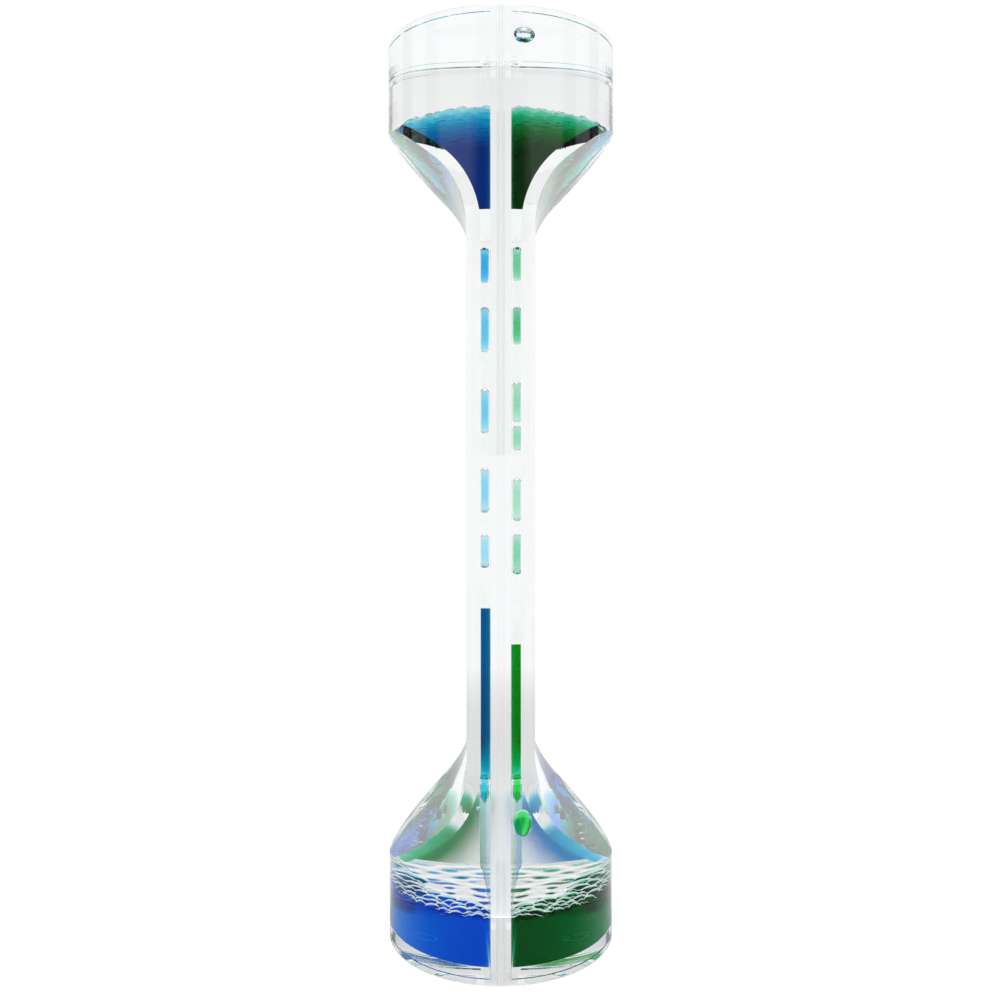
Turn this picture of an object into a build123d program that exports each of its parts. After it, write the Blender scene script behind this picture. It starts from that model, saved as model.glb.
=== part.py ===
from build123d import *
import math
import os

os.makedirs("parts", exist_ok=True)

# A free-standing liquid timer. Two clear half vessels stand back to back. Each is half of a
# round column whose side is cut in to a thin neck, and it is the same either way up.
# Sizes are in millimetres. It is drawn about its middle and lifted onto z = 0 when saved.

# The outside
total_height = 198.0
head_diameter = 50.0
neck_width = 13.9
head_height = 44.2
flare_radius = 20.0
flare_turn = 47.5

# Walls and the flats between the halves
wall = 3.0
divider_thickness = 1.68
bond_thickness = 0.76
cap_flange = 1.6
spigot_depth = 1.4

# The plates with a drop hole and a return hole, and the filling plugs
plate_rise = 3.2
plate_thickness = 1.0
orifice_radius = 0.5
plug_radius = 2.0
plug_chamfer = 0.3

# The coloured liquid
upper_pool_depth = 20.2
lower_pool_depth = 9.4
drop_film = 0.1
drop_front_gap = 1.0
drop_rim_radius = 0.6
pendant_length = 5.0
pendant_width = 1.8
pendant_depth = 4.4
released_drop_width = 3.6
released_drop_length = 5.6
released_drop_fall = 4.3
speck_diameter = 0.9
speck_fall = 1.3
speck_side_share = 0.6

# The small bubbles that lie on the pools
bubble_pitch = 3.9
bubble_radius = 1.75
bubble_rise = 1.3
bubble_gap = 0.15
foam_pitch = 4.6
foam_radius = 1.9
foam_rise = 1.2

# The air bubble under the lid
air_bubble_width = 4.4
air_bubble_height = 3.2
air_bubble_inset = 2.6
air_film = 0.1

# How far the run has got: the places and sizes of the falling drops and the length of
# the liquid standing on the lower plate, as shares of the height from the middle to a plate
blue_place_shares = (0.824, 0.596, 0.307, 0.024, -0.193)
blue_size_shares = (0.128, 0.163, 0.161, 0.161, 0.119)
blue_column_share = 0.605
green_place_shares = (0.829, 0.610, 0.339, 0.211, -0.009, -0.203)
green_size_shares = (0.122, 0.135, 0.146, 0.089, 0.153, 0.146)
green_column_share = 0.478
pendant_tip_share = 0.2

# How the bubbles step from row to row and differ in size
row_step_share = 0.87
first_row_share = 0.56
stagger_share = 0.5
smallest_bubble_share = 0.72
bubble_turns_by_row = 7
bubble_turns_by_place = 3

# Cuts run past a face by this much
overrun = 1.0

# Worked out from the sizes above
half_height = total_height / 2
head_radius = head_diameter / 2
bore_radius = head_radius - wall
bond_face = bond_thickness / 2
divider_face = bond_face + divider_thickness
slot_face = neck_width / 2 - wall
slot_middle = (divider_face + slot_face) / 2
shell_top = half_height - cap_flange
cap_face = shell_top - spigot_depth
flare_start = half_height - head_height
orifice_height = flare_start + plate_rise
plate_top = orifice_height + plate_thickness / 2
plate_under = orifice_height - plate_thickness / 2
flare_centre = neck_width / 2 + flare_radius
turn = math.radians(flare_turn)
upper_level = plate_top + upper_pool_depth
lower_level = lower_pool_depth - cap_face
blue_column_length = orifice_height * blue_column_share
green_column_length = orifice_height * green_column_share
largest_drop = orifice_height * max(blue_size_shares + green_size_shares)
slot_front = math.sqrt(bore_radius**2 - slot_face**2)
orifice_offset = slot_front - drop_front_gap - largest_drop / 2
plug_offset = (divider_face + bore_radius) / 2


# Shapes used by more than one piece
def slab(low_x, high_x, low_z, high_z):
    width = high_x - low_x
    tall = high_z - low_z
    return Pos((low_x + high_x) / 2, 0, (low_z + high_z) / 2) * Box(width, head_diameter + overrun, tall)


def round_bar(radius, low_z, high_z):
    return Pos(0, 0, (low_z + high_z) / 2) * Cylinder(radius, high_z - low_z)


def half_round(radius, low_x, low_z, high_z):
    return round_bar(radius, low_z, high_z) & slab(low_x, head_diameter, low_z, high_z)


def bend_point(radius, angle):
    return flare_centre - radius * math.cos(angle), flare_start + radius * math.sin(angle)


def flare_reach(height, inset):
    # How far out the flared side stands at a height, drawn in by a wall
    radius = flare_radius + inset
    bend_x, bend_z = bend_point(radius, turn)
    if height > bend_z:
        return bend_x + (height - bend_z) * math.tan(turn)
    rise = max(height - flare_start, 0)
    return flare_centre - math.sqrt(radius**2 - rise**2)


def half_trumpet(low_x, top, inset):
    # Half of the column with its side cut in, from the flat at low_x to the flared side
    radius = flare_radius + inset
    reach = head_radius - inset
    neck_x, _ = bend_point(radius, 0)
    middle_x, middle_z = bend_point(radius, turn / 2)
    bend_x, bend_z = bend_point(radius, turn)
    past = reach + overrun
    rim_z = bend_z + (past - bend_x) / math.tan(turn)
    edges = [
        Line((low_x, 0, -top), (past, 0, -top)),
        Line((past, 0, -top), (past, 0, -rim_z)),
        Line((past, 0, -rim_z), (bend_x, 0, -bend_z)),
        ThreePointArc((bend_x, 0, -bend_z), (middle_x, 0, -middle_z), (neck_x, 0, -flare_start)),
        Line((neck_x, 0, -flare_start), (neck_x, 0, flare_start)),
        ThreePointArc((neck_x, 0, flare_start), (middle_x, 0, middle_z), (bend_x, 0, bend_z)),
        Line((bend_x, 0, bend_z), (past, 0, rim_z)),
        Line((past, 0, rim_z), (past, 0, top)),
        Line((past, 0, top), (low_x, 0, top)),
        Line((low_x, 0, top), (low_x, 0, -top)),
    ]
    section = Face(Wire(edges))
    block = extrude(section, amount=past, dir=(0, 1, 0), both=True)
    return block & round_bar(reach, -top, top)


def cavity(low_z, high_z):
    # The space inside one half between two heights
    space = half_trumpet(divider_face, cap_face, wall)
    return space & slab(divider_face, head_radius, low_z, high_z)


def dome(radius, rise):
    # A bubble's cap with its flat side down on z = 0
    ball = (radius**2 + rise**2) / (2 * rise)
    cut = Pos(0, 0, ball) * Box(2 * ball, 2 * ball, 2 * ball)
    return Pos(0, 0, rise - ball) * Sphere(ball) & cut


def egg(width, depth, tall):
    return scale(Sphere(tall / 2), by=(width / tall, depth / tall, 1))


def bubble_spots(pitch, radius, reach):
    # Places and sizes of the bubbles that lie on a pool, in staggered rows
    spots = []
    places = math.ceil(bore_radius / pitch)
    for row in range(places + 1):
        x = divider_face + pitch * (first_row_share + row * row_step_share)
        for place in range(-places, places + 1):
            y = pitch * (place + stagger_share * (row % 2))
            swing = math.sin(bubble_turns_by_row * row + bubble_turns_by_place * place) ** 2
            size = radius * (smallest_bubble_share + (1 - smallest_bubble_share) * swing)
            inside = math.hypot(x, y) + size + bubble_gap < bore_radius
            if inside and x + size + bubble_gap < reach:
                spots.append((x, y, size))
    return spots


# The clear pieces of one half
def shell():
    solid = half_trumpet(divider_face, shell_top, 0)
    return solid - half_trumpet(divider_face - overrun, shell_top + overrun, wall)


def divider_wall():
    return round_bar(head_radius, -cap_face, cap_face) & slab(bond_face, divider_face, -cap_face, cap_face)


def top_cap():
    # A half disc with a raised step that fits inside the shell and a bar across the divider's end
    flange = half_round(head_radius, bond_face, shell_top, half_height)
    spigot = half_round(bore_radius, divider_face, cap_face, shell_top)
    bar = round_bar(head_radius, cap_face, shell_top) & slab(bond_face, divider_face, cap_face, shell_top)
    return flange + spigot + bar


def fill_hole():
    tall = cap_flange + spigot_depth
    return Pos(plug_offset, 0, -half_height + tall / 2) * Cylinder(plug_radius, tall)


def base_cap():
    return mirror(top_cap(), about=Plane.XY) - fill_hole()


def fill_plug():
    plug = fill_hole()
    rim = plug.edges().group_by(Axis.Z)[0]
    return chamfer(rim, plug_chamfer)


def orifice_plate(height):
    plate = cavity(height - plate_thickness / 2, height + plate_thickness / 2)
    hole = Cylinder(orifice_radius, plate_thickness + overrun)
    for depth in (-orifice_offset, orifice_offset):
        plate -= Pos(slot_middle, depth, height) * hole
    return plate


# The liquids of one half
def upper_pool():
    return cavity(plate_top, upper_level)


def lower_pool():
    return cavity(-cap_face, lower_level)


def neck_column(length):
    return cavity(-plate_under, length - plate_under)


def falling_drop(place_share, size_share):
    # A drop squeezed flat between the slot's walls, with a film of oil on each side
    thickness = slot_face - divider_face - 2 * drop_film
    disc = Rot(0, 90, 0) * Cylinder(orifice_height * size_share / 2, thickness)
    disc = fillet(disc.edges().filter_by(GeomType.CIRCLE), min(drop_rim_radius, thickness / 3))
    return Pos(slot_middle, -orifice_offset, orifice_height * place_share) * disc


def falling_drops(place_shares, size_shares):
    return [falling_drop(place, size) for place, size in zip(place_shares, size_shares)]


def pendant_egg():
    # Its tip would stand inside the plate, so that it meets the plate on a small flat
    whole_length = pendant_length / (1 - pendant_tip_share)
    middle = plate_top + pendant_length - whole_length / 2
    return Pos(slot_middle, -orifice_offset, -middle) * egg(pendant_width, pendant_depth, whole_length)


def pendant_drop():
    # The drop that hangs from the lower hole
    return pendant_egg() & slab(divider_face, head_radius, -cap_face, -plate_top)


def released_drop():
    # A drop that has left the hole, beside the divider
    x = divider_face + drop_film + released_drop_width / 2
    z = -plate_top - pendant_length - released_drop_fall
    return Pos(x, -orifice_offset, z) * egg(released_drop_width, released_drop_width, released_drop_length)


def speck():
    z = -plate_top - pendant_length - speck_fall
    x = slot_middle + pendant_width * speck_side_share
    return Pos(x, -orifice_offset, z) * Sphere(speck_diameter / 2)


def settled_bubbles():
    spots = bubble_spots(bubble_pitch, bubble_radius, bore_radius)
    rise_share = bubble_rise / bubble_radius
    return [Pos(x, y, lower_level) * dome(size, size * rise_share) for x, y, size in spots]


def pool_foam():
    spots = bubble_spots(foam_pitch, foam_radius, flare_reach(upper_level, wall))
    rise_share = foam_rise / foam_radius
    return [Pos(x, y, upper_level) * dome(size, size * rise_share) for x, y, size in spots]


def air_bubble():
    # It lies under the lid near the front, flattened a little by it
    x = divider_face + air_film + air_bubble_width / 2
    y = -math.sqrt((bore_radius - air_bubble_inset) ** 2 - x**2)
    z = cap_face - air_film - air_bubble_height / 2
    return Pos(x, y, z) * egg(air_bubble_width, air_bubble_width, air_bubble_height)


# Saving
def save(node, shape, mirrored=False):
    solids = shape if isinstance(shape, list) else [shape]
    if mirrored:
        solids = [mirror(solid, about=Plane.YZ) for solid in solids]
    lifted = [Pos(0, 0, half_height) * solid for solid in solids]
    whole = lifted[0] if len(lifted) == 1 else Compound(children=lifted)
    export_step(whole, f"parts/{node}.step")


def cut_all(shape, tools):
    for tool in tools:
        shape = shape - tool
    return shape


def save_clear_pieces(side, mirrored):
    save(f"{side}_shell", shell(), mirrored)
    save(f"{side}_divider_wall", divider_wall(), mirrored)
    save(f"{side}_top_cap", top_cap(), mirrored)
    save(f"{side}_base_cap", base_cap(), mirrored)
    save(f"{side}_fill_plug", fill_plug(), mirrored)
    save(f"{side}_upper_orifice_plate", orifice_plate(orifice_height), mirrored)
    save(f"{side}_lower_orifice_plate", orifice_plate(-orifice_height), mirrored)


def save_liquids(side, colour, mirrored, column_length, drops, loose_lower, loose_upper):
    column = neck_column(column_length)
    pendant = pendant_drop()
    settled = settled_bubbles()
    foam = pool_foam()
    save(f"{colour}_upper_pool", upper_pool(), mirrored)
    save(f"{colour}_pool_foam", foam, mirrored)
    save(f"{colour}_neck_column", column, mirrored)
    save(f"{colour}_pendant_drop", pendant, mirrored)
    save(f"{colour}_lower_pool", lower_pool(), mirrored)
    save(f"{colour}_settled_bubbles", settled, mirrored)
    for number, drop in enumerate(drops, start=1):
        save(f"{colour}_drop_{number}", drop, mirrored)
    upper_oil = cut_all(cavity(upper_level, cap_face), foam + loose_upper)
    neck_oil = cut_all(cavity(-plate_under + column_length, plate_under), drops)
    lower_oil = cut_all(cavity(lower_level, -plate_top), settled + [pendant_egg()] + loose_lower)
    save(f"{side}_upper_oil", upper_oil, mirrored)
    save(f"{side}_neck_oil", neck_oil, mirrored)
    save(f"{side}_lower_oil", lower_oil, mirrored)


bond_slab = slab(-bond_face, bond_face, -half_height, half_height)
save("divider_bond", round_bar(head_radius, -half_height, half_height) & bond_slab)
save_clear_pieces("left", True)
save_clear_pieces("right", False)

blue_drops = falling_drops(blue_place_shares, blue_size_shares)
green_drops = falling_drops(green_place_shares, green_size_shares)
blue_speck = speck()
green_released_drop = released_drop()
lid_bubble = air_bubble()
save("blue_speck", blue_speck, True)
save("green_released_drop", green_released_drop)
save("air_bubble", lid_bubble)
save_liquids("left", "blue", True, blue_column_length, blue_drops, [blue_speck], [])
save_liquids("right", "green", False, green_column_length, green_drops, [green_released_drop], [lid_bubble])

# What the moving drops have left to travel
lowest_blue = orifice_height * (blue_place_shares[-1] - blue_size_shares[-1] / 2)
lowest_green = orifice_height * (green_place_shares[-1] - green_size_shares[-1] / 2)
highest = orifice_height * (blue_place_shares[0] + blue_size_shares[0] / 2)
drop_low = -plate_top - pendant_length - released_drop_fall - released_drop_length / 2
print("blue drops can fall", round(lowest_blue - blue_column_length + plate_under, 2))
print("green drops can fall", round(lowest_green - green_column_length + plate_under, 2))
print("drops can rise", round(plate_under - highest, 2))
print("released drop can fall", round(drop_low - lower_level - bubble_rise, 2))
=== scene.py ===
import bpy
import bmesh
import math
import random
from mathutils import Matrix, Vector, noise
from mathutils.kdtree import KDTree


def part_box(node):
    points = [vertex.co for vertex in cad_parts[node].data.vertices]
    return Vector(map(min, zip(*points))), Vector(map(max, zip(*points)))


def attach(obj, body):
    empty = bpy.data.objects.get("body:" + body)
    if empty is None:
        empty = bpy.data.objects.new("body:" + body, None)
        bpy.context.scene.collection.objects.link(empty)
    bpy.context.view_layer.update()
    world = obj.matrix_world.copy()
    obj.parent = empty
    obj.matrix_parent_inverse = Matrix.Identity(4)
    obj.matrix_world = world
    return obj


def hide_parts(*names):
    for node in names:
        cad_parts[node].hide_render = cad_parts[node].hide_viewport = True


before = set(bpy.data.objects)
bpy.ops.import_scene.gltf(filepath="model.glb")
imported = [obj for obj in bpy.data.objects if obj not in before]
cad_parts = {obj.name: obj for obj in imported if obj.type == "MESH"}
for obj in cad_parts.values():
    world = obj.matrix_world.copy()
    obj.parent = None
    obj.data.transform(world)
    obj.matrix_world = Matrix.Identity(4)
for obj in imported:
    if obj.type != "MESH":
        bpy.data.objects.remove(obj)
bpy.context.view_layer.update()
mm = 0.001

# The vessel's own sizes that no box in the frame gives
vessel = {
    "wall": 3.0 * mm,
    "neckWidth": 13.9 * mm,
    "headHeight": 44.2 * mm,
    "flareRadius": 20.0 * mm,
    "flareTurn": math.radians(47.5),
    "roundSteps": 240,
    "flareSteps": 36,
    "overrun": 1.0 * mm,
    "flareEdge": 0.15 * mm,
    "flareEnd": 5.0 * mm,       # how far under the shell's rim the flared side is sure to be past
    "edgeDepth": 0.24 * mm,     # how far in from the round outside its small chamfers lie
    "glue": 0.02 * mm,          # the layer of cement between two bonded faces
    "smoothAngle": math.radians(24),
}

# How much of an axis the normal of a face holds
facing = {"none": 0.02, "some": 0.3, "half": 0.5, "most": 0.9, "all": 0.99}

bondLow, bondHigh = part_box("divider_bond")
wallLow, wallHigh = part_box("right_divider_wall")
shellLow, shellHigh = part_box("right_shell")
totalHeight = bondHigh.z - bondLow.z
middle = totalHeight / 2
headRadius = bondHigh.y
boreRadius = headRadius - vessel["wall"]
bondFace = bondHigh.x
dividerFace = wallHigh.x
shellTop = shellHigh.z - middle
capFace = wallHigh.z - middle
flareStart = middle - vessel["headHeight"]
flareCentre = vessel["neckWidth"] / 2 + vessel["flareRadius"]
glue = vessel["glue"]
overrun = vessel["overrun"]
near = 0.03 * mm            # closer than this is the same place
weld = 0.0001 * mm          # vertices closer than this are one
print("frame read: height", round(totalHeight, 4), "head radius", round(headRadius, 4))


# Small helpers

def isVert(item):
    return isinstance(item, bmesh.types.BMVert)


def isEdge(item):
    return isinstance(item, bmesh.types.BMEdge)


def newObject(name, bm):
    mesh = bpy.data.meshes.new(name)
    bm.to_mesh(mesh)
    bm.free()
    piece = bpy.data.objects.new(name, mesh)
    bpy.context.scene.collection.objects.link(piece)
    return piece


def dropObject(piece):
    mesh = piece.data
    bpy.data.objects.remove(piece)
    bpy.data.meshes.remove(mesh)


def bakeModifiers(piece):
    graph = bpy.context.evaluated_depsgraph_get()
    mesh = bpy.data.meshes.new_from_object(piece.evaluated_get(graph))
    old = piece.data
    piece.modifiers.clear()
    piece.data = mesh
    bpy.data.meshes.remove(old)


def combine(piece, tool, operation):
    step = piece.modifiers.new("combine", "BOOLEAN")
    step.object = tool
    step.operation = operation
    step.solver = "EXACT"
    bpy.context.view_layer.update()
    bakeModifiers(piece)
    dropObject(tool)
    return piece


def editMesh(piece, work):
    bm = bmesh.new()
    bm.from_mesh(piece.data)
    work(bm)
    bm.to_mesh(piece.data)
    bm.free()
    piece.data.update()


def pieceName(node):
    words = node.split("_")
    return words[0] + "".join(word.title() for word in words[1:])


def settle(piece, side="right", end="top", smoothAngle=vessel["smoothAngle"], weighted=True):
    # every piece is built on the right, about the middle of the timer, and a cap at the top:
    # here it goes to its own side and end, and up onto the base
    x = -1 if side == "left" else 1
    z = -1 if end == "base" else 1

    def work(bm):
        bmesh.ops.scale(bm, vec=(x, 1, z), verts=bm.verts)
        if x * z < 0:
            bmesh.ops.reverse_faces(bm, faces=bm.faces)
        bmesh.ops.remove_doubles(bm, verts=bm.verts, dist=weld)
        bmesh.ops.translate(bm, vec=(0, 0, middle), verts=bm.verts)
        for face in bm.faces:
            face.smooth = True

    editMesh(piece, work)
    piece.data.set_sharp_from_angle(angle=smoothAngle)
    if weighted:
        weigh = piece.modifiers.new("weighted", "WEIGHTED_NORMAL")
        weigh.keep_sharp = True


def flareReach(height, inset):
    radius = vessel["flareRadius"] + inset
    turn = vessel["flareTurn"]
    bendX = flareCentre - radius * math.cos(turn)
    bendZ = flareStart + radius * math.sin(turn)
    if height > bendZ:
        return bendX + (height - bendZ) * math.tan(turn)
    rise = max(height - flareStart, 0)
    return flareCentre - math.sqrt(radius ** 2 - rise ** 2)


def flaredBlock(name, lowX, top, inset):
    # the flared outline of one half, extruded from front to back
    radius = vessel["flareRadius"] + inset
    turn = vessel["flareTurn"]
    past = headRadius + overrun
    bm = bmesh.new()
    start = bm.verts.new((lowX, -past, 0))
    neckLow = bm.verts.new((flareCentre - radius, -past, 0))
    neckTop = bm.verts.new((flareCentre - radius, -past, flareStart))
    turned = bmesh.ops.spin(bm, geom=[neckTop], cent=(flareCentre, -past, flareStart),
                            axis=(0, 1, 0), angle=turn, steps=vessel["flareSteps"])
    bend = [item for item in turned["geom_last"] if isVert(item)][0]
    rimZ = bend.co.z + (past - bend.co.x) / math.tan(turn)
    rim = bm.verts.new((past, -past, rimZ))
    outer = bm.verts.new((past, -past, top))
    inner = bm.verts.new((lowX, -past, top))
    for pair in ((neckLow, neckTop), (bend, rim), (rim, outer), (outer, inner), (inner, start)):
        bm.edges.new(pair)
    bmesh.ops.mirror(bm, geom=bm.verts[:] + bm.edges[:], merge_dist=weld, axis="Z")
    bmesh.ops.remove_doubles(bm, verts=bm.verts, dist=weld)
    bmesh.ops.contextual_create(bm, geom=bm.edges[:])
    grown = bmesh.ops.extrude_face_region(bm, geom=bm.faces[:])
    moved = [item for item in grown["geom"] if isVert(item)]
    bmesh.ops.translate(bm, vec=(0, 2 * past, 0), verts=moved)
    bmesh.ops.recalc_face_normals(bm, faces=bm.faces)
    return newObject(name, bm)


def bevelRim(bm, level, width, steps):
    # the round outer edge at one level, at both ends of a piece
    edges = [e for e in bm.edges if all(abs(abs(v.co.z) - level) < near
             and math.hypot(v.co.x, v.co.y) > headRadius - near for v in e.verts)]
    bmesh.ops.bevel(bm, geom=edges, offset=width, affect="EDGES", segments=steps, profile=0.5,
                    material=-1)


def roundBar(name, radius, lowZ, highZ, lowX=None, highX=None, centre=(0, 0), steps=None, rims=()):
    # a round bar, its rims bevelled as asked, cut flat at lowX and highX
    bm = bmesh.new()
    place = Matrix.Translation((*centre, (lowZ + highZ) / 2))
    bmesh.ops.create_cone(bm, cap_ends=True, segments=steps or vessel["roundSteps"], radius1=radius,
                          radius2=radius, depth=highZ - lowZ, matrix=place)
    for rim in rims:
        bevelRim(bm, *rim)
    for x, side in ((lowX, -1), (highX, 1)):
        if x is not None:
            cut = bmesh.ops.bisect_plane(bm, geom=bm.verts[:] + bm.edges[:] + bm.faces[:],
                                         plane_co=(x, 0, 0), plane_no=(side, 0, 0), clear_outer=True)
            bmesh.ops.contextual_create(bm, geom=[item for item in cut["geom_cut"] if isEdge(item)])
    bmesh.ops.recalc_face_normals(bm, faces=bm.faces)
    return newObject(name, bm)


def flaredSolid(name, lowX, lowZ, highZ, inset):
    block = flaredBlock(name, lowX, middle, inset)
    return combine(block, roundBar("tool", headRadius - inset, lowZ, highZ), "INTERSECT")


# Materials

def principled(name):
    material = bpy.data.materials.new(name)
    material.use_nodes = True
    return material, material.node_tree.nodes, material.node_tree.links


moulding = {"scale": 60, "detail": 2, "strength": 0.015, "depth": 0.2 * mm}


def addWaves(nodes, links, shader):
    # the faint unevenness of a moulded surface
    place = nodes.new("ShaderNodeTexCoord")
    waves = nodes.new("ShaderNodeTexNoise")
    waves.inputs["Scale"].default_value = moulding["scale"]
    waves.inputs["Detail"].default_value = moulding["detail"]
    bump = nodes.new("ShaderNodeBump")
    bump.inputs["Strength"].default_value = moulding["strength"]
    bump.inputs["Distance"].default_value = moulding["depth"]
    links.new(place.outputs["Object"], waves.inputs["Vector"])
    links.new(waves.outputs["Fac"], bump.inputs["Height"])
    links.new(bump.outputs["Normal"], shader.inputs["Normal"])


def glassy(name, ior, tint=(1, 1, 1), uneven=False, dye=None, joined=False):
    # dye is how fast red, green and blue fade, per metre of liquid
    material, nodes, links = principled(name)
    shader = nodes["Principled BSDF"]
    shader.inputs["Base Color"].default_value = (*tint, 1)
    shader.inputs["Transmission Weight"].default_value = 1
    shader.inputs["IOR"].default_value = ior
    shader.inputs["Roughness"].default_value = 0
    if uneven:
        addWaves(nodes, links, shader)
    if dye:
        densest = max(dye)
        absorb = nodes.new("ShaderNodeVolumeAbsorption")
        absorb.inputs["Color"].default_value = (*[1 - part / densest for part in dye], 1)
        absorb.inputs["Density"].default_value = densest
        links.new(absorb.outputs["Volume"], nodes["Material Output"].inputs["Volume"])
    # lamp light goes straight through to the floor, dyed by the liquid
    rays = nodes.new("ShaderNodeLightPath")
    keep = nodes.new("ShaderNodeMath")
    keep.operation = "SUBTRACT"
    keep.use_clamp = True
    keep.inputs[0].default_value = 1
    links.new(rays.outputs["Is Shadow Ray"], keep.inputs[1])
    if joined:
        # where a pool and the bubbles on it are one liquid, the faces between them vanish
        mark = nodes.new("ShaderNodeAttribute")
        mark.attribute_name = "joined"
        left = nodes.new("ShaderNodeMath")
        left.operation = "SUBTRACT"
        left.inputs[0].default_value = 1
        links.new(mark.outputs["Fac"], left.inputs[1])
        links.new(left.outputs["Value"], keep.inputs[0])
    links.new(keep.outputs["Value"], shader.inputs["Alpha"])
    return material


# How strongly each bends light. A face bends it by what lies on its two sides
indexOf = {"acrylic": 1.49, "oil": 1.465, "liquid": 1.38, "air": 1.0}


def between(inner, outer):
    return indexOf[inner] / indexOf[outer]


finish = {
    "acrylicAir": glassy("acrylic_outside", between("acrylic", "air"), (0.965, 0.98, 0.985), uneven=True),
    "acrylicOil": glassy("acrylic_inside", between("acrylic", "oil")),
    "bonded": glassy("acrylic_bonded", 1.0),
    "oil": glassy("clear_oil", 1.0, (0.998, 1, 1)),
    "air": glassy("trapped_air", between("air", "oil")),
}
# The blue and the green liquid each get their own density in every part, the upper pools denser than the
# lower ones: this is painted shade, for how light falls through each part, on top of the liquid's dye
dyesAndShade = {
    "blueUpper": (400, 85, 38), "blueLower": (300, 78, 11), "blueColumn": (420, 55, 31),
    "blueDrop": (190, 48, 10), "blueFresh": (800, 70, 15),
    "greenUpper": (450, 85, 170), "greenLower": (330, 76, 140), "greenColumn": (420, 33, 130),
    "greenDrop": (170, 42, 100), "greenFresh": (900, 30, 600),
}
# Each falling drop's dye is made a little denser or paler, as painted shade
dropShade = {"blue": (2.3, 1.15, 0.95, 0.75, 0.8), "green": (1.5, 1.8, 0.8, 1.3, 0.6, 0.95)}
for colour, shares in dropShade.items():
    for number, share in enumerate(shares, 1):
        dyesAndShade[f"{colour}Drop{number}"] = tuple(part * share for part in dyesAndShade[f"{colour}Drop"])
for name, dye in dyesAndShade.items():
    pooled = name.endswith(("Upper", "Lower"))
    finish[name] = glassy(name, between("liquid", "oil"), dye=dye, joined=pooled)


def paint(piece, shade):
    piece.data.materials.clear()
    piece.data.materials.append(finish[shade])


def paintFaces(piece, outside, bonded=lambda x, y, normal: False):
    # outside faces meet the air, bonded ones vanish, and the others meet oil or liquid
    piece.data.materials.clear()
    for name in ("acrylicAir", "acrylicOil", "bonded"):
        piece.data.materials.append(finish[name])
    for face in piece.data.polygons:
        centre = face.center
        x, height = abs(centre.x), abs(centre.z - middle)
        if outside(x, centre.y, height, face.normal):
            face.material_index = 0
        else:
            face.material_index = 2 if bonded(x, centre.y, face.normal) else 1


def onBond(x, y, normal):
    return x < bondFace + near


def onRim(x, y, normal):
    # on the round outside, or on a chamfer of it
    return math.hypot(x, y) > headRadius - vessel["edgeDepth"] and abs(normal.z) < facing["most"]


def finishPiece(piece, body, node):
    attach(piece, body)
    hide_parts(node)


# The clear pieces

# The round edge at each end of the timer, the fine groove between cap and shell, and the fill plugs
capForm = {"edge": 0.5 * mm, "edgeSteps": 4, "groove": 0.12 * mm, "plugEdge": 0.08 * mm, "plugSteps": 64}
capRim = (middle, capForm["edge"], capForm["edgeSteps"])
plugLow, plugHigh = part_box("right_fill_plug")
plugRadius = (plugHigh.x - plugLow.x) / 2
plugPlace = ((plugHigh.x + plugLow.x) / 2, 0)


def bevelFlareEdges(bm):
    # a hair of bevel where the flared sides meet the round front and back
    def onSide(face):
        return abs(face.normal.y) < facing["none"] and abs(face.normal.z) < facing["most"]

    def onFront(face):
        centre = face.calc_center_median()
        return abs(face.normal.y) > facing["some"] and math.hypot(centre.x, centre.y) > headRadius - near

    edges = [e for e in bm.edges if len(e.link_faces) == 2 and any(map(onSide, e.link_faces))
             and any(map(onFront, e.link_faces)) and min(v.co.x for v in e.verts) > dividerFace + overrun]
    bmesh.ops.bevel(bm, geom=edges, offset=vessel["flareEdge"], affect="EDGES", segments=1, profile=0.5,
                    material=-1, clamp_overlap=True)


def makeShell(side):
    node = f"{side}_shell"
    shell = flaredSolid(pieceName(node), dividerFace + glue, -shellTop + glue, shellTop - glue, 0)
    editMesh(shell, bevelFlareEdges)
    inside = flaredSolid("inside", dividerFace - overrun, -middle, middle, vessel["wall"])
    combine(shell, inside, "DIFFERENCE")
    editMesh(shell, lambda bm: bevelRim(bm, shellTop - glue, capForm["groove"], 1))
    settle(shell, side)

    def outside(x, y, height, normal):
        onFlare = x > flareReach(height, 0) - vessel["flareEdge"] and abs(normal.y) < facing["most"]
        return onRim(x, y, normal) or (onFlare and height < shellTop - vessel["flareEnd"])

    paintFaces(shell, outside)
    finishPiece(shell, "vessel", node)


def makeDividerWall(side):
    node = f"{side}_divider_wall"
    wall = roundBar(pieceName(node), headRadius, -capFace + glue, capFace - glue,
                    bondFace + glue, dividerFace)
    settle(wall, side)
    paintFaces(wall, lambda x, y, height, normal: onRim(x, y, normal) and abs(normal.x) < facing["most"],
               onBond)
    finishPiece(wall, "vessel", node)


def makeBond():
    node = "divider_bond"
    bond = roundBar(pieceName(node), headRadius, -middle, middle, -bondFace, bondFace, rims=[capRim])
    settle(bond)
    paintFaces(bond, lambda x, y, height, normal: abs(normal.x) < facing["most"], onBond)
    finishPiece(bond, "vessel", node)


def aroundPlug(x, y):
    return math.hypot(x - plugPlace[0], y - plugPlace[1]) < plugRadius + near


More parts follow.
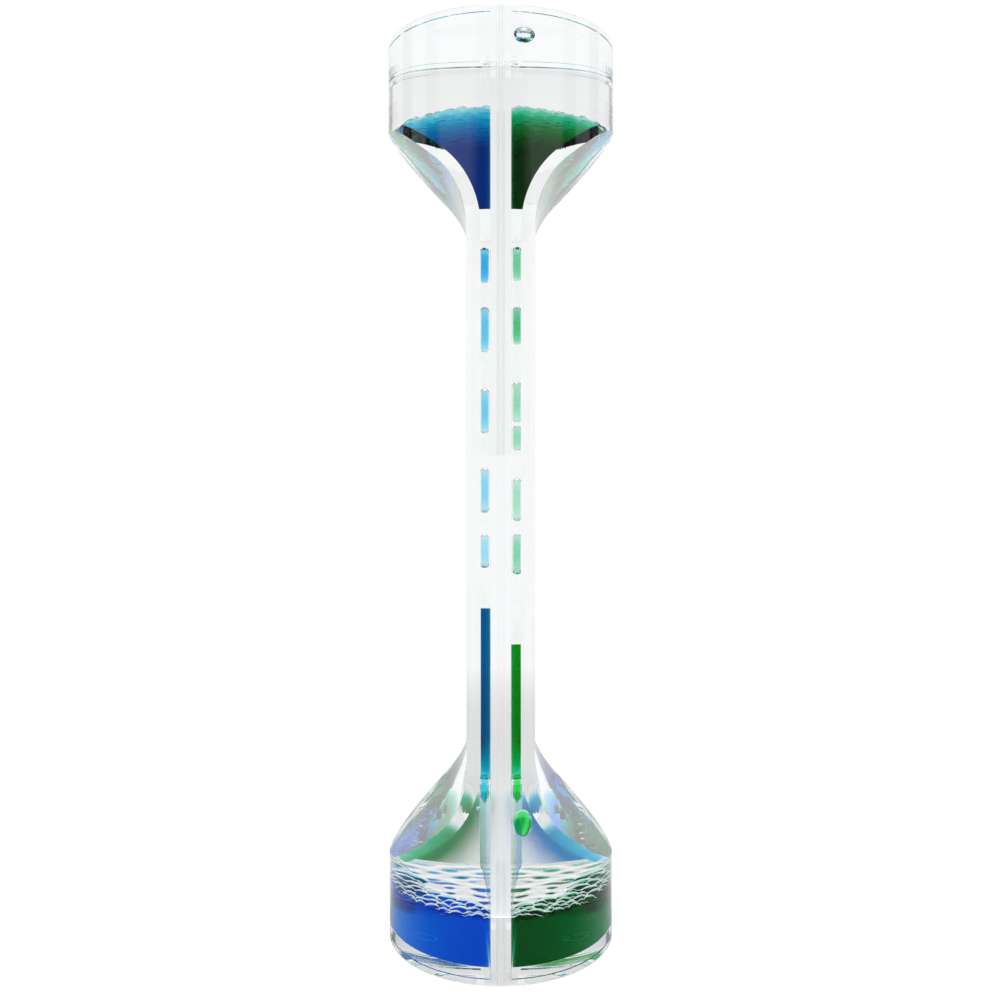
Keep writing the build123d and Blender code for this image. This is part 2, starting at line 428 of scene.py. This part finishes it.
def makeCap(side, end):
    # a lid with a spigot in the shell and a bar on the end of the divider wall
    node = f"{side}_{end}_cap"
    cap = roundBar(pieceName(node), headRadius, shellTop, middle, bondFace + glue,
                   rims=[capRim, (shellTop, capForm["groove"], 1)])
    spigot = roundBar("spigot", boreRadius - glue, capFace, shellTop + overrun / 2, dividerFace)
    bar = roundBar("bar", headRadius, capFace, shellTop + overrun / 2, bondFace + glue, dividerFace)
    combine(cap, spigot, "UNION")
    combine(cap, bar, "UNION")
    if end == "base":
        hole = roundBar("hole", plugRadius, capFace - overrun, middle + overrun, centre=plugPlace,
                        steps=capForm["plugSteps"])
        combine(cap, hole, "DIFFERENCE")
    settle(cap, side, end)
    paintFaces(cap, lambda x, y, height, normal: height > middle - near
               or (height > shellTop + near and math.hypot(x, y) > headRadius - capForm["edge"]),
               lambda x, y, normal: onBond(x, y, normal) or aroundPlug(x, y))
    finishPiece(cap, "vessel", node)


def makePlug(side):
    node = f"{side}_fill_plug"
    low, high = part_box(node)
    plug = roundBar(pieceName(node), plugRadius - glue, low.z - middle, high.z - middle,
                    centre=((low.x + high.x) / 2, 0), steps=capForm["plugSteps"])

    def chamfer(bm):
        edges = [e for e in bm.edges if all(abs(v.co.z - (low.z - middle)) < near for v in e.verts)]
        bmesh.ops.bevel(bm, geom=edges, offset=capForm["plugEdge"], affect="EDGES", segments=1,
                        profile=0.5, material=-1)

    editMesh(plug, chamfer)
    settle(plug)
    paintFaces(plug, lambda x, y, height, normal: normal.z < -facing["half"],
               lambda x, y, normal: abs(normal.z) < facing["half"])
    finishPiece(plug, "vessel", node)


plateForm = {"holeRadius": 0.5 * mm, "holeSteps": 32, "clearance": 0.03 * mm}


def makePlate(side, end):
    node = f"{side}_{end}_orifice_plate"
    low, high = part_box(node)
    dropLow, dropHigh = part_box("green_pendant_drop")
    clearance = plateForm["clearance"]
    under, over = low.z - middle, high.z - middle
    plate = flaredSolid(pieceName(node), dividerFace + clearance, under, over, vessel["wall"] + clearance)
    # one hole for the drops, in front, and one for the oil that comes back, behind
    holeX, holeY = (dropLow.x + dropHigh.x) / 2, (dropLow.y + dropHigh.y) / 2
    for y in (holeY, -holeY):
        hole = roundBar("hole", plateForm["holeRadius"], under - overrun, over + overrun,
                        centre=(holeX, y), steps=plateForm["holeSteps"])
        combine(plate, hole, "DIFFERENCE")
    settle(plate, side)
    paint(plate, "acrylicOil")
    finishPiece(plate, "vessel", node)


for side in ("left", "right"):
    makeShell(side)
    makeDividerWall(side)
    makePlug(side)
    for end in ("top", "base"):
        makeCap(side, end)
    for end in ("upper", "lower"):
        makePlate(side, end)
makeBond()
print("clear pieces made")


# The liquids

# How far a liquid stands off the walls round it, and the bubbles off the pool below
liquidForm = {"clearance": 0.03 * mm, "seam": 0.01 * mm}


def markJoined(piece, test):
    # the faces where a pool and its skin of bubbles are one liquid
    mark = piece.data.attributes.new("joined", "FLOAT", "FACE")
    mark.data.foreach_set("value", [float(test(f.center, f.normal)) for f in piece.data.polygons])


def makePool(side, colour, part, shade):
    node = f"{colour}_{part}"
    low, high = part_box(node)
    clearance = liquidForm["clearance"]
    top = high.z - middle - (clearance if part == "neck_column" else 0)
    pool = flaredSolid(pieceName(node), dividerFace + clearance, low.z - middle + clearance, top,
                       vessel["wall"] + clearance)
    settle(pool, side)
    if part != "neck_column":
        markJoined(pool, lambda centre, normal: normal.z > facing["all"] and abs(centre.z - high.z) < near)
    paint(pool, shade)
    finishPiece(pool, "vessel", node)


# The bubbles on the pools: the radius at the front wall and further back, how much it varies, how high
# a bubble stands as a share of its radius, and how often a place is tried
skinForm = {
    "raft": {"front": 1.2 * mm, "back": 2.2 * mm, "spread": 0.22, "rise": 0.72,
             "highest": 1.0 * mm, "tries": 1500},
    "foam": {"front": 1.4 * mm, "back": 2.4 * mm, "spread": 0.3, "rise": 0.5,
             "highest": 0.9 * mm, "tries": 700},
    "frontDepth": 13 * mm,      # over which the radius grows
    "shrink": (1, 0.7, 0.5, 0.36),
    "packing": 0.62,            # how near two bubbles come, as a share of their radii
    "wallShare": 0.55, "dividerShare": 0.5,     # how much of its radius a bubble keeps off each
    # the raft lies along the front wall, wider away from the divider, and along the side at the back
    "raftEdge": -14 * mm, "raftSlope": 1.0, "sideFrom": 12 * mm,
    "thickness": 0.25 * mm, "ripple": 0.36 * mm, "rippleLength": 2.6 * mm, "trough": -0.5,
    "radialSteps": 92, "roundSteps": 220, "weld": 0.001 * mm, "smoothAngle": math.radians(50),
}


def scatterBubbles(kind, seed, reach, fixed):
    # the large ones first, and smaller ones in the gaps that they leave
    form = skinForm[kind]
    rng = random.Random(seed)
    bubbles = list(fixed)
    for shrink in skinForm["shrink"]:
        for _ in range(form["tries"]):
            x = rng.uniform(dividerFace, reach)
            y = rng.uniform(-boreRadius, boreRadius)
            ease = min(max((y + boreRadius) / skinForm["frontDepth"], 0), 1)
            radius = form["front"] + (form["back"] - form["front"]) * ease
            radius *= shrink * (1 + form["spread"] * rng.uniform(-1, 1))
            if math.hypot(x, y) > boreRadius - radius * skinForm["wallShare"]:
                continue
            if x < dividerFace + radius * skinForm["dividerShare"]:
                continue
            edge = skinForm["raftEdge"] + skinForm["raftSlope"] * (x - dividerFace)
            if kind == "raft" and y > edge and x < skinForm["sideFrom"]:
                continue
            if all(math.hypot(x - otherX, y - otherY) > skinForm["packing"] * (radius + other)
                   for otherX, otherY, other in bubbles):
                bubbles.append((x, y, radius))
    return bubbles


def makeSkin(side, node, kind, seed, shade, fixed):
    # a skin of bubbles that covers a pool, bumpy above and joined to the pool below
    form = skinForm[kind]
    low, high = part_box(node)
    level = low.z - middle
    clearance = liquidForm["clearance"]
    slanted = level > 0
    reach = flareReach(level, vessel["wall"]) if slanted else boreRadius
    bubbles = scatterBubbles(kind, seed, reach, fixed)
    bm = bmesh.new()
    base = level + liquidForm["seam"]
    chain = [bm.verts.new((0, -(boreRadius - clearance) * step / skinForm["radialSteps"], base))
             for step in range(skinForm["radialSteps"] + 1)]
    for pair in zip(chain, chain[1:]):
        bm.edges.new(pair)
    bmesh.ops.spin(bm, geom=bm.verts[:] + bm.edges[:], cent=(0, 0, base), axis=(0, 0, 1),
                   angle=math.pi, steps=skinForm["roundSteps"])
    bmesh.ops.remove_doubles(bm, verts=bm.verts, dist=skinForm["weld"])
    bmesh.ops.bisect_plane(bm, geom=bm.verts[:] + bm.edges[:] + bm.faces[:], clear_outer=True,
                           plane_co=(dividerFace + clearance, 0, 0), plane_no=(-1, 0, 0))
    grown = bmesh.ops.extrude_face_region(bm, geom=bm.faces[:])
    tops = [item for item in grown["geom"] if isVert(item)]
    tree = KDTree(len(tops))
    for index, vert in enumerate(tops):
        wave = noise.noise(vert.co / skinForm["rippleLength"])
        vert.co.z = base + skinForm["thickness"] + skinForm["ripple"] * max(wave, skinForm["trough"])
        tree.insert((vert.co.x, vert.co.y, 0), index)
    tree.balance()
    for x, y, radius in bubbles:
        rise = min(radius * form["rise"], form["highest"])
        for _, index, distance in tree.find_range((x, y, 0), radius):
            swell = rise * (1 - min(distance / radius, 1) ** 2)
            tops[index].co.z = max(tops[index].co.z, base + skinForm["thickness"] + swell)
    if slanted:
        turn = vessel["flareTurn"]
        cut = bmesh.ops.bisect_plane(bm, geom=bm.verts[:] + bm.edges[:] + bm.faces[:], clear_outer=True,
                                     plane_co=(reach - 2 * clearance, 0, level),
                                     plane_no=(math.cos(turn), 0, -math.sin(turn)))
        bmesh.ops.contextual_create(bm, geom=[item for item in cut["geom_cut"] if isEdge(item)])
    bmesh.ops.recalc_face_normals(bm, faces=bm.faces)
    skin = newObject(pieceName(node), bm)
    settle(skin, side, smoothAngle=skinForm["smoothAngle"], weighted=False)
    markJoined(skin, lambda centre, normal: normal.z < -facing["all"])
    paint(skin, shade)
    finishPiece(skin, "vessel", node)
    print(skin.name, "bubbles", len(bubbles), "faces", len(skin.data.polygons))


# The loose drops

dropForm = {
    "roundSteps": 96, "rim": 0.55 * mm, "rimSteps": 6, "ballSteps": 48,
    "pendantTipShare": 0.42, "pendantNeck": 0.3 * mm, "neckSteps": 3,
    "smoothAngle": math.radians(40),
}


def centreAndSize(node):
    low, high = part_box(node)
    return (low + high) / 2 - Vector((0, 0, middle)), high - low


def addBall(bm, radius, matrix):
    bmesh.ops.create_uvsphere(bm, u_segments=dropForm["ballSteps"], v_segments=dropForm["ballSteps"] // 2,
                              radius=radius, matrix=matrix)


def finishDrop(bm, node, body, shade, stem=None):
    bmesh.ops.recalc_face_normals(bm, faces=bm.faces)
    drop = newObject(pieceName(node), bm)
    if stem:
        combine(drop, stem, "UNION")
    settle(drop, smoothAngle=dropForm["smoothAngle"])
    paint(drop, shade)
    finishPiece(drop, body, node)


def makeDisc(node, body, shade):
    # a drop squeezed flat between the slot's walls
    centre, size = centreAndSize(node)
    bm = bmesh.new()
    place = Matrix.Translation(centre) @ Matrix.Rotation(math.pi / 2, 4, "Y")
    bmesh.ops.create_cone(bm, cap_ends=True, segments=dropForm["roundSteps"], radius1=size.z / 2,
                          radius2=size.z / 2, depth=size.x, matrix=place)
    edges = [e for e in bm.edges if abs(e.verts[0].co.x - e.verts[1].co.x) < near]
    bmesh.ops.bevel(bm, geom=edges, offset=dropForm["rim"], affect="EDGES",
                    segments=dropForm["rimSteps"], profile=0.5, material=-1)
    finishDrop(bm, node, body, shade)


def makeBall(node, body, shade):
    centre, size = centreAndSize(node)
    bm = bmesh.new()
    addBall(bm, 0.5, Matrix.Translation(centre) @ Matrix.Diagonal((*size, 1)))
    finishDrop(bm, node, body, shade)


def makePendant(node, body, shade):
    # straight-sided below the plate and round at its tip
    centre, size = centreAndSize(node)
    bm = bmesh.new()
    tip = size.z * dropForm["pendantTipShare"]
    waist = centre.z - size.z / 2 + tip
    stretch = Matrix.Diagonal((size.x / 2, size.y / 2, tip, 1))
    addBall(bm, 1, Matrix.Translation((centre.x, centre.y, waist)) @ stretch)
    bmesh.ops.bisect_plane(bm, geom=bm.verts[:] + bm.edges[:] + bm.faces[:], clear_outer=True,
                           plane_co=(0, 0, waist), plane_no=(0, 0, 1))
    bmesh.ops.remove_doubles(bm, verts=bm.verts, dist=weld)
    rim = [e for e in bm.edges if len(e.link_faces) == 1]
    grown = bmesh.ops.extrude_edge_only(bm, edges=rim)
    top = [item for item in grown["geom"] if isVert(item)]
    bmesh.ops.translate(bm, vec=(0, 0, size.z - tip), verts=top)
    lid = bmesh.ops.contextual_create(bm, geom=[e for e in bm.edges if all(v in top for v in e.verts)])
    bmesh.ops.bevel(bm, geom=lid["faces"][0].edges[:], offset=dropForm["pendantNeck"], affect="EDGES",
                    segments=dropForm["neckSteps"], profile=0.5, material=-1)
    # the stem fills the hole in the plate, up to the column
    clearance = plateForm["clearance"]
    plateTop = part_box("left_lower_orifice_plate")[1].z - middle
    stem = roundBar("stem", plateForm["holeRadius"] - clearance, centre.z, plateTop + clearance / 2,
                    centre=(centre.x, centre.y), steps=plateForm["holeSteps"])
    finishDrop(bm, node, body, shade, stem)


# The largest bubbles of each skin, in mm: the place out from the divider, the place from front to back,
# and the radius
largest = {
    "blue_pool_foam": [(2.6, -18.6, 2.8), (7.5, -17.8, 2.4)],
    "green_pool_foam": [(2.6, -19, 2.3)],
    "blue_settled_bubbles": [(5.4, -16, 2.6)],
    "green_settled_bubbles": [(4.6, -17.6, 2.3)],
}
skins = (("foam", "pool_foam", "Upper"), ("raft", "settled_bubbles", "Lower"))
for side, colour, seed in (("left", "blue", 11), ("right", "green", 23)):
    makePool(side, colour, "upper_pool", f"{colour}Upper")
    makePool(side, colour, "lower_pool", f"{colour}Lower")
    makePool(side, colour, "neck_column", f"{colour}Column")
    for number, (kind, part, shade) in enumerate(skins):
        node = f"{colour}_{part}"
        fixed = [(dividerFace + x * mm, y * mm, radius * mm) for x, y, radius in largest[node]]
        makeSkin(side, node, kind, seed + number, colour + shade, fixed)
    makePendant(f"{colour}_pendant_drop", "vessel", f"{colour}Fresh")
    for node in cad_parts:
        if node.startswith(f"{colour}_drop_"):
            makeDisc(node, f"{colour}_falling_drops", f"{colour}Drop{node[-1]}")
makeBall("green_released_drop", "green_released_drop", "greenFresh")
makeBall("blue_speck", "blue_speck", "blueFresh")
makeBall("air_bubble", "air_bubble", "air")


# The oil: clear, kept just off every wall and pool so that no two faces share a plane

oilForm = {"clearance": 0.07 * mm}


def makeOil(side, part, lowZ, highZ):
    node = f"{side}_{part}_oil"
    clearance = oilForm["clearance"]
    oil = flaredSolid(pieceName(node), dividerFace + clearance, lowZ + clearance,
                      highZ - clearance, vessel["wall"] + clearance)
    settle(oil, side)
    paint(oil, "oil")
    finishPiece(oil, "vessel", node)


def topOf(node):
    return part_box(node)[1].z - middle


def undersideOf(node):
    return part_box(node)[0].z - middle


for side, colour in (("left", "blue"), ("right", "green")):
    makeOil(side, "upper", topOf(f"{colour}_pool_foam"), capFace)
    makeOil(side, "neck", topOf(f"{colour}_neck_column"), undersideOf(f"{side}_upper_orifice_plate"))
    makeOil(side, "lower", topOf(f"{colour}_settled_bubbles"), undersideOf(f"{side}_lower_orifice_plate"))
print("liquids made")


# Camera, light and floor

camera = {
    "focal": 1031,              # in pixels of a picture 1000 wide
    "distance": 232.2 * mm,
    "height": 9.8 * mm,
    "pitch": math.radians(0.84),
    "shift": -0.035,
    "centreX": 500.8,
    "sensor": 36.0,
    "pixels": 1000,
    "clipStart": 1 * mm,
    "clipEnd": 100,
}


def makeCamera():
    data = bpy.data.cameras.new("camera")
    data.sensor_width = camera["sensor"]
    data.lens = camera["focal"] / camera["pixels"] * camera["sensor"]
    data.shift_y = camera["shift"]
    data.shift_x = (camera["pixels"] / 2 - camera["centreX"]) / camera["pixels"]
    data.clip_start = camera["clipStart"]
    data.clip_end = camera["clipEnd"]
    eye = bpy.data.objects.new("camera", data)
    bpy.context.scene.collection.objects.link(eye)
    eye.location = (0, -camera["distance"], middle + camera["height"])
    eye.rotation_euler = (math.pi / 2 - camera["pitch"], 0, 0)
    bpy.context.scene.camera = eye


# The studio: white all round, with grey cards at the sides, behind the camera and overhead. Each stop is
# how far round or up the room it lies, and how bright the room is there
studio = {
    "sideCards": ((0.0, 1.0), (0.88, 1.0), (0.92, 0.16), (0.98, 0.16), (0.99, 1.0)),
    "frontCard": ((0.0, 1.0), (0.82, 1.0), (0.90, 0.14), (1.0, 0.1)),
    "overhead": ((0.0, 0.9), (0.56, 1.0), (0.62, 0.95), (0.70, 0.82), (0.80, 0.7), (0.90, 0.7),
                 (0.95, 1.25)),
    "dim": 0.08,                # how bright the room is to the floor
    "bounces": 40,              # a ray crosses many clear faces
    "glossyBounces": 12,
    # a near key light above the front, and one above the back, each with its size and power
    "lamps": {"key": ((0.0, -0.11, 0.44), 0.014, 2.3), "back": ((0.0, 0.24, 0.6), 0.06, 0.1)},
}


def addRamp(nodes, links, value, stops):
    node = nodes.new("ShaderNodeValToRGB")
    elements = node.color_ramp.elements
    for index, (position, level) in enumerate(stops):
        element = elements[index] if index < 2 else elements.new(position)
        element.position = position
        element.color = (level, level, level, 1)
    links.new(value, node.inputs["Fac"])
    return node.outputs["Color"]


def makeWorld():
    world = bpy.data.worlds.new("studio")
    bpy.context.scene.world = world
    world.use_nodes = True
    nodes, links = world.node_tree.nodes, world.node_tree.links
    place = nodes.new("ShaderNodeTexCoord")
    split = nodes.new("ShaderNodeSeparateXYZ")
    links.new(place.outputs["Generated"], split.inputs["Vector"])

    def step(operation, *values):
        node = nodes.new("ShaderNodeMath")
        node.operation = operation
        for socket, value in zip(node.inputs, values):
            if isinstance(value, (int, float)):
                socket.default_value = value
            else:
                links.new(value, socket)
        return node.outputs["Value"]

    x, y, z = split.outputs
    flat = step("SQRT", step("ADD", step("MULTIPLY", x, x), step("MULTIPLY", y, y)))
    sides = addRamp(nodes, links, step("DIVIDE", step("ABSOLUTE", x), flat), studio["sideCards"])
    front = addRamp(nodes, links, step("MULTIPLY", y, -1), studio["frontCard"])
    above = addRamp(nodes, links, step("MULTIPLY_ADD", z, 0.5, 0.5), studio["overhead"])
    level = step("MULTIPLY", step("MULTIPLY", sides, front), above)
    rays = nodes.new("ShaderNodeLightPath")
    seen = step("MAXIMUM", rays.outputs["Is Glossy Ray"], rays.outputs["Is Transmission Ray"])
    level = step("MULTIPLY", level, step("MULTIPLY_ADD", seen, 1 - studio["dim"], studio["dim"]))
    shown = step("MAXIMUM", level, rays.outputs["Is Camera Ray"])
    links.new(shown, nodes["Background"].inputs["Color"])
    nodes["Background"].inputs["Strength"].default_value = 1


def makeLamp(name, place, size, power):
    data = bpy.data.lights.new(name, "AREA")
    data.shape = "DISK"
    data.size = size
    data.energy = power
    lamp = bpy.data.objects.new(name, data)
    bpy.context.scene.collection.objects.link(lamp)
    lamp.location = place
    lamp.rotation_euler = (-lamp.location).to_track_quat("-Z", "Y").to_euler()
    lamp.visible_camera = False


# Paper: its true shade close to the timer, and white further out. The stops are radii, as shares of the
# reach, with how white the floor is there, to the camera and through the timer. Reflections show it all
# white, but for a dark card in front
floorForm = {
    "size": 20, "drop": 0.2 * mm, "colour": 0.9, "roughness": 0.9, "reach": 0.5,
    "Is Camera Ray": ((0.0, 0.5), (0.054, 0.5), (0.09, 1.0)),
    "Is Transmission Ray": ((0.0, 0.0), (0.25, 0.0), (0.6, 1.0)),
    "card": 0.12, "cardEdge": 25 * mm,
}


def makeFloor():
    bm = bmesh.new()
    bmesh.ops.create_grid(bm, x_segments=1, y_segments=1, size=floorForm["size"])
    floor = newObject("floor", bm)
    floor.location.z = -floorForm["drop"]
    material, nodes, links = principled("floor_paper")
    shade = floorForm["colour"]
    paper = nodes["Principled BSDF"]
    paper.inputs["Base Color"].default_value = (shade, shade, shade, 1)
    paper.inputs["Roughness"].default_value = floorForm["roughness"]
    paper.inputs["Specular IOR Level"].default_value = 0
    white = nodes.new("ShaderNodeEmission")
    place = nodes.new("ShaderNodeTexCoord")
    radius = nodes.new("ShaderNodeVectorMath")
    radius.operation = "LENGTH"
    links.new(place.outputs["Object"], radius.inputs[0])
    scale = nodes.new("ShaderNodeMath")
    scale.operation = "DIVIDE"
    scale.inputs[1].default_value = floorForm["reach"]
    links.new(radius.outputs["Value"], scale.inputs[0])
    rays = nodes.new("ShaderNodeLightPath")
    share = rays.outputs["Is Reflection Ray"]
    for ray in ("Is Camera Ray", "Is Transmission Ray"):
        ramp = addRamp(nodes, links, scale.outputs["Value"], floorForm[ray])
        part = nodes.new("ShaderNodeMath")
        part.operation = "MULTIPLY_ADD"
        links.new(rays.outputs[ray], part.inputs[0])
        links.new(ramp, part.inputs[1])
        links.new(share, part.inputs[2])
        share = part.outputs["Value"]
    split = nodes.new("ShaderNodeSeparateXYZ")
    links.new(place.outputs["Object"], split.inputs["Vector"])
    front = nodes.new("ShaderNodeMapRange")
    front.inputs["From Min"].default_value = floorForm["cardEdge"]
    front.inputs["From Max"].default_value = -floorForm["cardEdge"]
    front.inputs["To Max"].default_value = floorForm["card"] - 1
    links.new(split.outputs["Y"], front.inputs["Value"])
    dull = nodes.new("ShaderNodeMath")
    dull.operation = "MULTIPLY_ADD"
    links.new(rays.outputs["Is Reflection Ray"], dull.inputs[0])
    links.new(front.outputs["Result"], dull.inputs[1])
    dull.inputs[2].default_value = 1
    links.new(dull.outputs["Value"], white.inputs["Strength"])
    mix = nodes.new("ShaderNodeMixShader")
    links.new(share, mix.inputs["Fac"])
    links.new(paper.outputs["BSDF"], mix.inputs[1])
    links.new(white.outputs["Emission"], mix.inputs[2])
    links.new(mix.outputs["Shader"], nodes["Material Output"].inputs["Surface"])
    floor.data.materials.append(material)


makeCamera()
makeWorld()
for name, (place, size, power) in studio["lamps"].items():
    makeLamp(name, place, size, power)
makeFloor()
scene = bpy.context.scene
scene.view_settings.view_transform = "Standard"
scene.cycles.max_bounces = studio["bounces"]
scene.cycles.transmission_bounces = studio["bounces"]
scene.cycles.glossy_bounces = studio["glossyBounces"]
scene.cycles.transparent_max_bounces = studio["bounces"]
scene.cycles.caustics_reflective = False
scene.cycles.caustics_refractive = False
scene.cycles.use_denoising = True
print("studio made")
